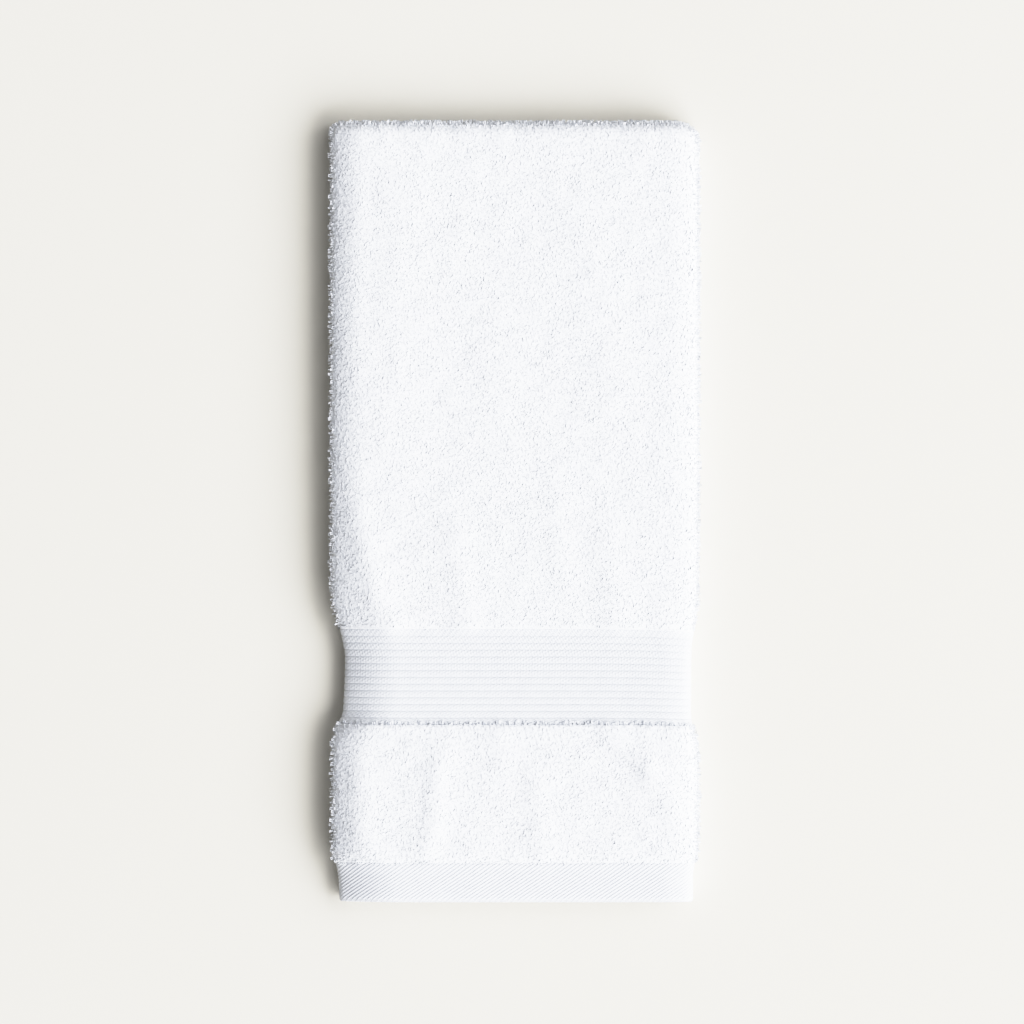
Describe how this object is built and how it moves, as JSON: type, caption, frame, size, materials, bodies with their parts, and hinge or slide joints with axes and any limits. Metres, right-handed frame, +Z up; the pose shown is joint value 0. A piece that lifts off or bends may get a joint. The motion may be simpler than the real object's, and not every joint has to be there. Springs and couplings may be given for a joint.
{
  "type": "hand towel",
  "caption": "White terry hand towel folded in thirds across and in half along, lying face up, with a flat ribbed band near its hem and soft puckers beside the band",
  "frame": {"origin": "Under the middle of the folded towel, on the surface that it lies on", "axes": "+X to the towel's right, +Y from the hems to the top fold, +Z up out of its face"},
  "size_m": [0.1694, 0.357, 0.0219],
  "materials": {
    "white_cotton": "matte white cotton terry"
  },
  "bodies": {
    "root": {"towel": "white_cotton"}
  },
  "joints": []
}
